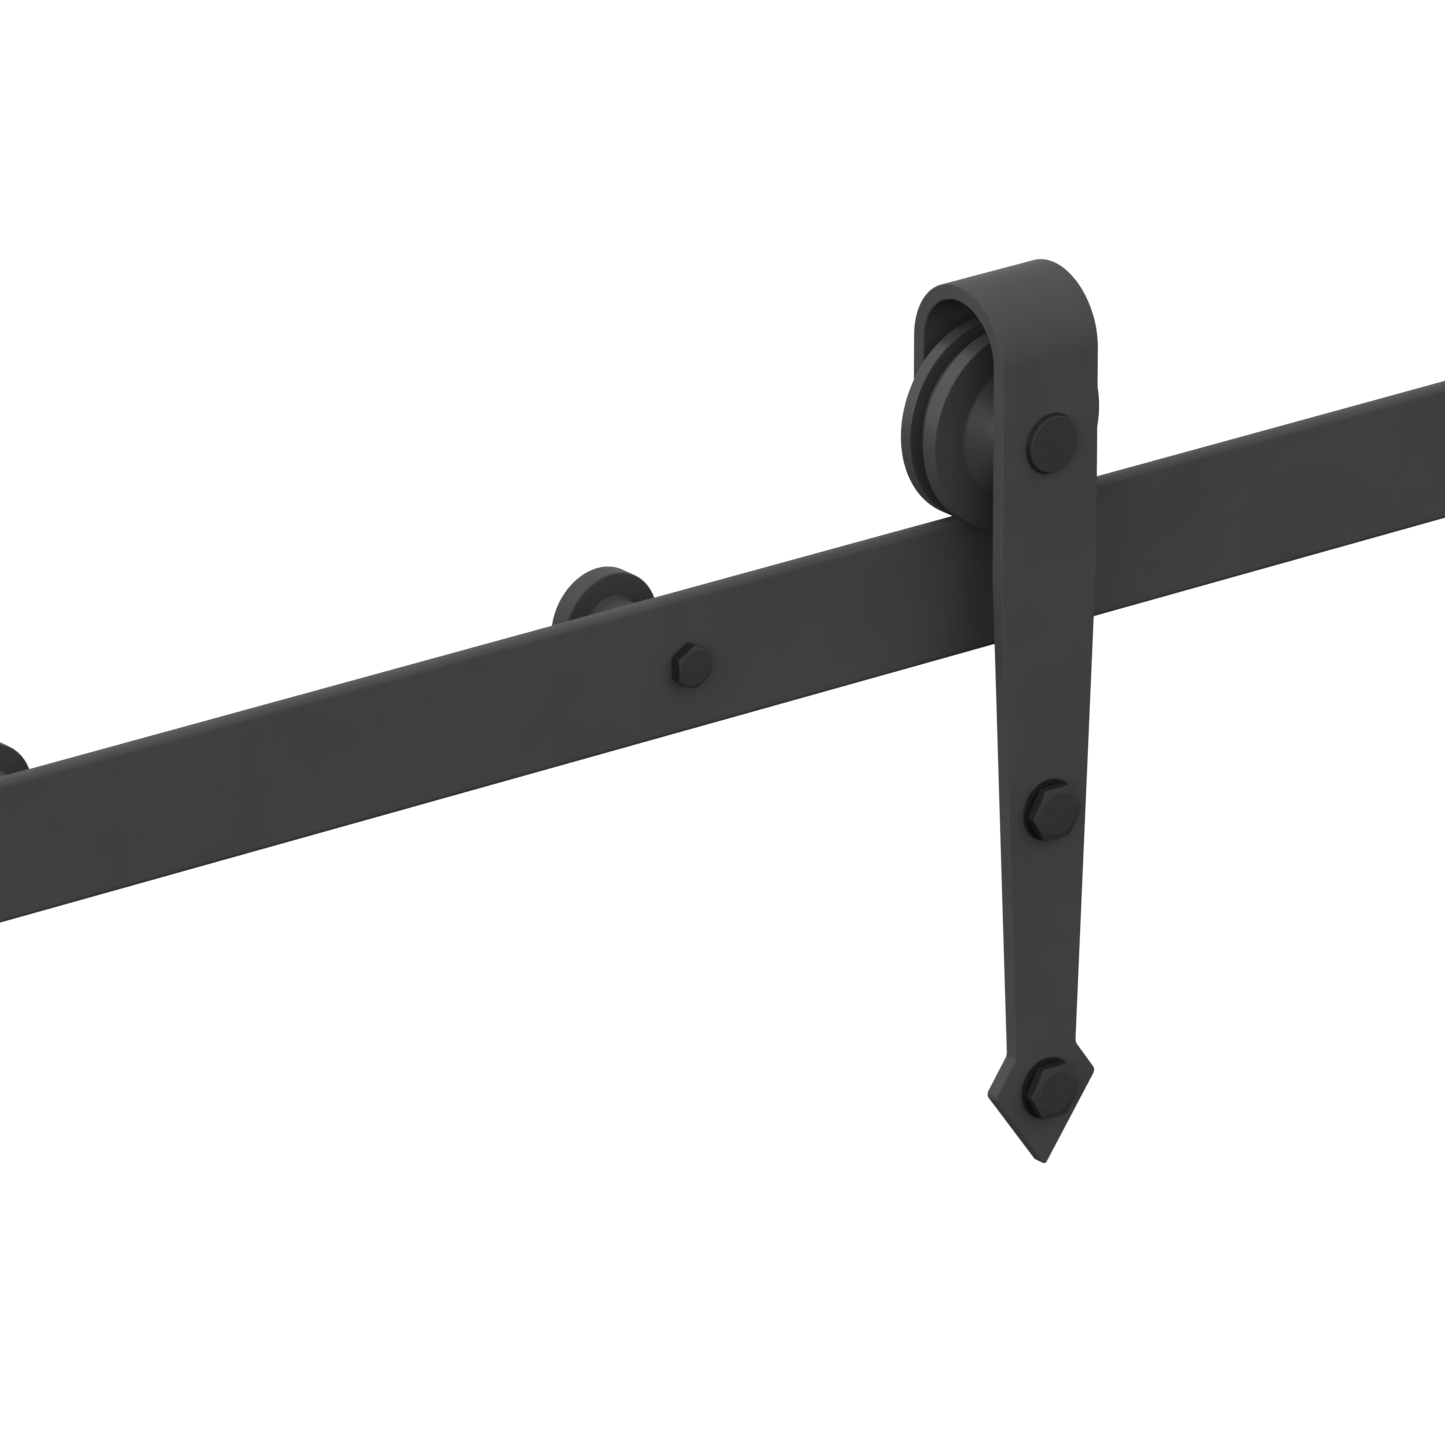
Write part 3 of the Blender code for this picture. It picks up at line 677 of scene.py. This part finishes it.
def make_rail():
    half = RAIL_HALF_THICK, RAIL_HALF_TALL
    corners = [(half[0], half[1]), (-half[0], half[1]), (-half[0], -half[1]), (half[0], -half[1])]
    start = (half[0], 0)
    outline = rounded([start] + [(*corner, RAIL_EDGE) for corner in corners] + [start], RAIL_ARC_STEPS)[:-1]
    length = size("rail").x / 2
    rail = add_object("rail_look", prism("rail", outline, length), (0, RAIL_PLANE, 0))
    ease_edges(rail, RAIL_END_EDGE, 2)
    cut(rail, [drill(LAG_SHANK + GAP, centre(node).x, 0) for node in lag_nodes()])
    even_normals(rail)
    finish_piece(rail, "rail")


def make_spacers():
    low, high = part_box("spacer_1")
    foot = (high.x - low.x) / 2
    bore = LAG_SHANK + GAP
    shoulder = -SPACER_FOOT
    mesh = turned("spacer", rounded([
        (bore, 0), (bore, low.y), (SPACER_STEM, low.y, SPACER_EDGE), (SPACER_STEM, shoulder, SPACER_FILLET),
        (foot, shoulder, SPACER_EDGE), (foot, 0, SPACER_FOOT_EDGE), (bore, 0),
    ])[:-1], ROUND)
    for number in range(1, SPACER_COUNT + 1):
        node = f"spacer_{number}"
        place(node, mesh.copy(), (centre(node).x, 0, 0))


def make_lag_bolts():
    low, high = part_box("lag_bolt_4")
    seat = low.y + LAG_HEAD_HEIGHT
    length = high.y - seat
    outline = hex_head(high.x - low.x, LAG_HEAD_HEIGHT, math.radians(LAG_TURN), LAG_CHAMFER)
    outline += [(LAG_SHANK, 0), (LAG_SHANK, -seat)]
    outline += thread(LAG_SHANK, -seat, length, WOOD_PITCH, THREAD_DEPTH, POINT_LENGTH * LAG_SHANK)
    outline += [(0, length)]
    mesh = turned("lag_bolt", outline)
    for node in lag_nodes():
        place(node, mesh.copy(), (centre(node).x, seat, 0))


def make_blind_stud():
    low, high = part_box("blind_stud")
    outline = [(0, low.y), (LAG_SHANK - STUD_EDGE, low.y), (LAG_SHANK, low.y + STUD_EDGE), (LAG_SHANK, 0)]
    outline += thread(LAG_SHANK, 0, high.y, WOOD_PITCH, THREAD_DEPTH, POINT_LENGTH * LAG_SHANK)
    outline += [(0, high.y)]
    place("blind_stud", turned("blind_stud", outline), (centre("blind_stud").x, 0, 0))


def stop_outline(low, high):
    """Saddle section, open downwards over the rail."""
    half = (high.y - low.y) / 2
    slot_half = RAIL_HALF_THICK + GAP
    slot_top = RAIL_HALF_TALL + GAP
    return rounded([
        (0, high.z), (-half, high.z, STOP_TOP_EDGE), (-half, low.z, STOP_FOOT_EDGE),
        (-slot_half, low.z, STOP_SLOT_EDGE), (-slot_half, slot_top), (slot_half, slot_top),
        (slot_half, low.z, STOP_SLOT_EDGE), (half, low.z, STOP_FOOT_EDGE), (half, high.z, STOP_TOP_EDGE),
        (0, high.z),
    ])[:-1]


def make_stop(side, direction):
    node = f"stop_{side}"
    low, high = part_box(node)
    middle = (low + high) / 2
    half_length = (high.x - low.x) / 2
    mesh = prism(node, stop_outline(low, high), half_length)
    stop = add_object(f"{node}_look", mesh, (middle.x, RAIL_PLANE, 0))
    ease_edges(stop, STOP_END_EDGE, 3)
    holes = []
    for number in (1, 2):
        grub = centre(f"grub_screw_{side}_{number}")
        holes.append(drill(GRUB_HOLE, grub.x - middle.x, grub.z, GRUB_DRILL_REACH))
    hole, end = BUFFER_STEM + GAP, BUFFER_STEM_LENGTH + GAP
    socket = turned("socket", [(0, -BUFFER_STEM), (hole, -BUFFER_STEM), (hole, end), (0, end)])
    height = centre(f"stop_buffer_{side}").z
    inner_face = -direction * half_length
    inward = Matrix.Rotation(-direction * math.pi / 2, 4, "Z")
    holes.append((socket, Matrix.Translation((inner_face, 0, height)) @ inward))
    cut(stop, holes)
    even_normals(stop)
    finish_piece(stop, node)
    make_buffer(side, (middle.x + inner_face, RAIL_PLANE, height), inward)


def make_buffer(side, location, inward):
    """Rubber pad with a shallow ring moulded in its face."""
    node = f"stop_buffer_{side}"
    radius = size(node).y / 2
    front = -BUFFER_THICKNESS
    face = [(radius * share, front + depth, edge) for share, depth, edge in BUFFER_FACE]
    mesh = turned("buffer", rounded([(0, front)] + face + [
        (radius, -GAP, BUFFER_BACK_EDGE), (BUFFER_STEM, -GAP),
        (BUFFER_STEM, BUFFER_STEM_LENGTH, BUFFER_STEM_EDGE), (0, BUFFER_STEM_LENGTH),
    ]), ROUND)
    piece = add_object(f"{node}_look", mesh, location)
    piece.rotation_euler = inward.to_euler()
    finish_piece(piece, node)


def make_grub_screws():
    for side in SIDES:
        for number in (1, 2):
            node = f"grub_screw_{side}_{number}"
            low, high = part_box(node)
            radius = (high.x - low.x) / 2
            length = high.y - low.y
            socket = hexagon(GRUB_SOCKET)
            outline = [
                (0, GRUB_SOCKET_DEPTH), (socket, GRUB_SOCKET_DEPTH), (socket, GRUB_EDGE),
                (hexagon(GRUB_SOCKET_MOUTH), 0.0), (radius - GRUB_EDGE, 0.0), (radius, GRUB_EDGE),
                (radius, length - GRUB_EDGE), (radius - GRUB_EDGE, length), (0, length),
            ]
            place(node, turned(node, outline), (centre(node).x, low.y, centre(node).z))


# ---------------------------------------------------------------- hangers

def strap_stations(front):
    """(y, z, slope, half width) along the strap's middle surface, from the tip over to the back end."""
    middle = front + STRAP_THICKNESS / 2
    bend = LOOP_RADIUS - STRAP_THICKNESS / 2
    bend_centre = front + LOOP_RADIUS
    stations = []
    for z, half in rounded(list(ARROW_OUTLINE) + [(LOOP_RISE, STRAP_HALF_WIDTH, 0.0)], OUTLINE_ARC_STEPS):
        stations.append((middle, z, math.pi, half))
    for step in range(1, BEND_STEPS + 1):
        angle = math.pi * (1 - step / BEND_STEPS)
        y = bend_centre + bend * math.cos(angle)
        stations.append((y, LOOP_RISE + bend * math.sin(angle), angle, STRAP_HALF_WIDTH))
    for step in range(LEG_END_STEPS + 1):
        angle = math.radians(LEG_END_SWEEP) * step / LEG_END_STEPS
        half = STRAP_HALF_WIDTH * math.cos(angle)
        stations.append((bend_centre + bend, -STRAP_HALF_WIDTH * math.sin(angle), 0.0, half))
    return stations


def strap_section(y, z, slope, half):
    """Flat bar's outline with rounded edges, square to the strap at one station."""
    out = Vector((0, math.cos(slope), math.sin(slope)))
    thick = STRAP_THICKNESS / 2
    ease = min(STRAP_EDGE, half * STRAP_EDGE_LIMIT)
    points = []
    for quarter in range(4):
        sign_x = (1, -1, -1, 1)[quarter]
        sign_out = (1, 1, -1, -1)[quarter]
        for step in range(ARC_STEPS + 1):
            angle = math.pi / 2 * (quarter + step / ARC_STEPS)
            across = sign_x * (half - ease) + ease * math.cos(angle)
            outward = sign_out * (thick - ease) + ease * math.sin(angle)
            points.append(Vector((across, y, z)) + out * outward)
    return points


def make_strap(side, axle):
    node = f"strap_{side}"
    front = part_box(node)[0].y - axle.y
    bm = bmesh.new()
    sections = []
    for station in strap_stations(front):
        sections.append([bm.verts.new(point) for point in strap_section(*station)])
    count = len(sections[0])
    for first, second in zip(sections, sections[1:]):
        for index in range(count):
            after = (index + 1) % count
            bm.faces.new((first[index], first[after], second[after], second[index]))
    bm.faces.new(sections[0])
    bm.faces.new(reversed(sections[-1]))
    strap = add_object(f"{node}_look", to_mesh(bm, node), axle)
    holes = [drill(AXLE_SHANK + GAP, 0, 0)]
    for level in ("upper", "lower"):
        bolt = centre(f"door_bolt_{level}_{side}")
        holes.append(drill(AXLE_SHANK + GAP, 0, bolt.z - axle.z))
    cut(strap, holes)
    even_normals(strap)
    finish_piece(strap, node)


def make_axle(side, axle):
    bolt_low, bolt_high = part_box(f"axle_bolt_{side}")
    nut_low, nut_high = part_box(f"axle_nut_{side}")
    seat = bolt_low.y + AXLE_HEAD[-1][1] - axle.y
    end = bolt_high.y - axle.y
    front, back = nut_low.y - axle.y, nut_high.y - axle.y
    head = [(radius, seat - height, edge) for radius, height, edge in reversed(AXLE_HEAD)]
    outline = rounded([(0, head[0][1])] + head + [(AXLE_SHANK, seat)]) + [(AXLE_SHANK, front)]
    outline += thread(AXLE_SHANK, front, end - FINE_THREAD_DEPTH, BOLT_PITCH, FINE_THREAD_DEPTH)
    outline += [(AXLE_SHANK - AXLE_END_CHAMFER, end), (0, end)]
    place(f"axle_bolt_{side}", turned("axle_bolt", outline, ROUND), axle)
    nut = nut_outline(nut_high.x - nut_low.x, front, back)
    place(f"axle_nut_{side}", turned("axle_nut", nut, ROUND), axle)
    for node in ("axle_washer", "front_sleeve", "rear_sleeve"):
        make_ring(f"{node}_{side}", AXLE_SHANK + GAP, axle, RING_EDGE)


def nut_outline(across_corners, front, back):
    """Hexagonal nut with a countersunk bore, chamfered at the back."""
    across_flats = across_corners * math.sqrt(3) / 2
    side = hexagon(across_flats)
    face = across_flats / 2 * NUT_CHAMFER[0]
    slope = math.tan(math.radians(NUT_CHAMFER[1]))
    bore = AXLE_SHANK + GAP
    return [
        (bore, front + NUT_SINK), (bore + NUT_SINK, front), (face, front),
        (less(side, NUT_EDGE), front), (side, front + NUT_EDGE),
        (side, lambda angle: back - (side(angle) - face) * slope - NUT_EDGE),
        (less(side, NUT_EDGE), lambda angle: back - (side(angle) - NUT_EDGE - face) * slope),
        (face, back), (bore + NUT_SINK, back), (bore, back - NUT_SINK),
    ]


def make_ring(node, bore, axle, edge):
    """Plain turned ring that fills its node's box."""
    low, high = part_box(node)
    radius = (high.x - low.x) / 2
    front, back = low.y - axle.y, high.y - axle.y
    outline = rounded([
        (bore, (front + back) / 2), (bore, front, edge / 2), (radius, front, edge),
        (radius, back, edge), (bore, back, edge / 2), (bore, (front + back) / 2),
    ])[:-1]
    place(node, turned(node, outline, ROUND), axle)


def make_door_bolts(side, axle):
    for level in ("upper", "lower"):
        node = f"door_bolt_{level}_{side}"
        low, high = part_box(node)
        seat = low.y + DOOR_HEAD_HEIGHT
        length = high.y - seat
        outline = hex_head(DOOR_HEAD_ACROSS_FLATS, DOOR_HEAD_HEIGHT, 0.0, DOOR_CHAMFER, DOOR_HEAD_EDGE)
        outline += [(AXLE_SHANK, 0), (AXLE_SHANK, DOOR_BOLT_SMOOTH)]
        outline += thread(AXLE_SHANK, DOOR_BOLT_SMOOTH, length, WOOD_PITCH, THREAD_DEPTH,
                          POINT_LENGTH * AXLE_SHANK) + [(0, length)]
        height = centre(node).z
        place(node, turned("door_bolt", outline, ROUND), (axle.x, seat, height))
        bolt_axis = Vector((axle.x, axle.y, height))
        make_ring(f"door_washer_{level}_{side}", AXLE_SHANK + GAP, bolt_axis, WASHER_EDGE)


def boss_curve(end, face):
    """Hollow flare from the end of the boss out to its base on the front flange."""
    points = []
    for step in range(BOSS_STEPS + 1):
        share = step / BOSS_STEPS
        radius = BOSS_END + (BOSS_BASE - BOSS_END) * share ** BOSS_HOLLOW
        points.append((radius, end + (face - end) * share))
    return points


def make_wheel(side, axle):
    node = f"wheel_{side}"
    low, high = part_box(node)
    radius = (high.x - low.x) / 2
    end = low.y - axle.y
    front, back = WHEEL_FACES
    groove = RAIL_HALF_THICK + GAP
    groove_radius = axle.z - rail_high.z - GAP
    pocket = back - BEARING_WIDTH - GAP
    seat = size(f"bearing_outer_{side}").x / 2 + GAP
    curve = boss_curve(end, front)
    bore_start, bore_end = end + BORE_SPLIT[0], end + BORE_SPLIT[1]
    outline = rounded([
        (BOSS_BORE, bore_start), (BOSS_BORE, end, BORE_EDGE), (*curve[0], BOSS_EDGE), curve[1],
    ], FINE_ARC_STEPS)
    outline += curve[2:] + rounded([
        curve[-1], (radius, front, WHEEL_RIM_EDGE), (radius, -groove, WHEEL_RIM_EDGE),
        (groove_radius, -groove, GROOVE_FILLET), (groove_radius, groove, GROOVE_FILLET),
        (radius, groove, WHEEL_RIM_EDGE), (radius, back, WHEEL_RIM_EDGE),
        (seat, back, POCKET_EDGE), (seat, pocket, BORE_EDGE), (BOSS_BORE, pocket, BORE_EDGE),
        (BOSS_BORE, bore_end),
    ])[1:]
    place(node, turned(node, outline, FINE_ROUND), axle)


def make_bearing(side, axle):
    front, back = WHEEL_FACES[1] - BEARING_WIDTH, WHEEL_FACES[1]
    middle = (front + back) / 2
    inner = size(f"bearing_inner_{side}").x / 2
    outer = size(f"bearing_outer_{side}").x / 2
    pitch = (inner + OUTER_RING_BORE) / 2
    race = BALL_RADIUS + RACE_PLAY
    groove = []
    reach = math.acos((pitch - inner) / race)
    for step in range(RACE_STEPS + 1):
        angle = reach * (step * 2 / RACE_STEPS - 1)
        groove.append((race * math.cos(angle), race * math.sin(angle)))
    bore = AXLE_SHANK + GAP
    rings = {
        "bearing_inner": rounded([
            (bore, middle), (bore, front, BEARING_EDGE), (inner, front, BEARING_EDGE),
        ], FINE_ARC_STEPS)
        + [(pitch - a, middle + b) for a, b in groove]
        + rounded([
            (inner, back - SHOULDER), (inner, back, BEARING_EDGE),
            (bore, back, BEARING_EDGE), (bore, middle),
        ], FINE_ARC_STEPS)[:-1],
        "bearing_outer": rounded([
            (OUTER_RING_BORE, front + SHOULDER), (OUTER_RING_BORE, front, OUTER_BORE_EDGE),
            (outer, front, OUTER_RING_EDGE), (outer, back, OUTER_RING_EDGE),
            (OUTER_RING_BORE, back, OUTER_BORE_EDGE), (OUTER_RING_BORE, back - SHOULDER),
        ], FINE_ARC_STEPS)
        + [(pitch + a, middle - b) for a, b in groove],
    }
    for node, outline in rings.items():
        place(f"{node}_{side}", turned(node, outline, ROUND), axle)
    make_cage(side, axle, pitch, middle)


def make_cage(side, axle, pitch, middle):
    """Pressed cage with its balls."""
    inner, outer = pitch - CAGE_HALF_THICKNESS, pitch + CAGE_HALF_THICKNESS
    front, back = middle - CAGE_HALF_WIDTH, middle + CAGE_HALF_WIDTH
    outline = rounded([
        (inner, middle), (inner, front, CAGE_EDGE), (outer, front, CAGE_EDGE), (outer, back, CAGE_EDGE),
        (inner, back, CAGE_EDGE), (inner, middle),
    ], CAGE_ARC_STEPS)[:-1]
    cage = add_object(f"ball_cage_{side}_look", turned("cage", outline, ROUND), axle)
    bm = bmesh.new()
    bm.from_mesh(cage.data)
    for number in range(BALL_COUNT):
        angle = FULL_TURN * number / BALL_COUNT
        spot = Matrix.Translation((pitch * math.cos(angle), middle, pitch * math.sin(angle)))
        bmesh.ops.create_icosphere(bm, subdivisions=4, radius=BALL_RADIUS, matrix=spot)
    cage.data = to_mesh(bm, "cage")
    finish_piece(cage, f"ball_cage_{side}")


# ---------------------------------------------------------------- setting

def make_lamp():
    """Soft lamp from the left, out of sight of the camera, aimed at the left axle."""
    light = bpy.data.lights.new("from_left", "AREA")
    light.shape = "RECTANGLE"
    light.size, light.size_y = LAMP_SIZE
    light.energy = LAMP_POWER
    offset = Vector(LAMP_OFFSET)
    lamp = add_object("from_left", light, axle_point("left") + offset)
    lamp.rotation_euler = (-offset).to_track_quat("-Z", "Y").to_euler()
    lamp.visible_camera = False


def make_floor():
    """Pale floor that is only seen; it throws no light back, so undersides stay dark."""
    bm = bmesh.new()
    bmesh.ops.create_grid(bm, x_segments=8, y_segments=8, size=FLOOR_HALF_SIZE)
    floor = add_object("floor", to_mesh(bm, "floor"), (0, 0, cad_box[0][2] - FLOOR_DROP))
    material, tree, shader = new_material("pale_floor")
    coords = add(tree, "ShaderNodeTexCoord").outputs["Object"]
    tint = colour_mix(tree, noise(tree, coords, FLOOR_TINT_SCALE), *FLOOR_TINTS)
    tree.links.new(tint, shader.inputs["Base Color"])
    shader.inputs["Roughness"].default_value = FLOOR_ROUGHNESS
    shader.inputs["Specular IOR Level"].default_value = 0.0
    floor.data.materials.append(material)
    floor.visible_diffuse = False
    floor.visible_glossy = False


def make_dome():
    """White sky that falls off to a dim ground below the horizon, so undersides stay dark."""
    world = bpy.data.worlds.new("studio")
    world.use_nodes = True
    tree = world.node_tree
    direction = add(tree, "ShaderNodeTexCoord").outputs["Generated"]
    height = add(tree, "ShaderNodeSeparateXYZ")
    tree.links.new(direction, height.inputs[0])
    strength = spread(tree, height.outputs["Z"], *HORIZON, GROUND_STRENGTH, SKY_STRENGTH)
    tree.links.new(strength, tree.nodes["Background"].inputs["Strength"])
    tree.nodes["Background"].inputs["Color"].default_value = (1.0, 1.0, 1.0, 1.0)
    bpy.context.scene.world = world


def make_setting():
    bpy.context.scene.view_settings.view_transform = "Standard"
    make_dome()
    make_floor()
    make_lamp()


def make_camera():
    """Long lens, to the left of the hanger and above it, looking down along the rail."""
    azimuth, elevation = math.radians(CAMERA_AZIMUTH), math.radians(CAMERA_ELEVATION)
    target = axle_point("left") + Vector(CAMERA_AIM)
    away = Vector((math.sin(azimuth) * math.cos(elevation), -math.cos(azimuth) * math.cos(elevation),
                   math.sin(elevation)))
    lens = bpy.data.cameras.new("camera")
    lens.sensor_width = CAMERA_SENSOR
    lens.lens = CAMERA_LENS
    lens.clip_end = CAMERA_REACH
    camera = add_object("camera", lens, target + away * CAMERA_DISTANCE)
    camera.rotation_euler = (-away).to_track_quat("-Z", "Y").to_euler()
    bpy.context.scene.camera = camera


make_rail()
make_spacers()
make_lag_bolts()
make_blind_stud()
make_stop("left", -1)
make_stop("right", 1)
make_grub_screws()
for hanger_side in SIDES:
    hanger_axle = axle_point(hanger_side)
    make_strap(hanger_side, hanger_axle)
    make_axle(hanger_side, hanger_axle)
    make_door_bolts(hanger_side, hanger_axle)
    make_wheel(hanger_side, hanger_axle)
    make_bearing(hanger_side, hanger_axle)
make_setting()
make_camera()
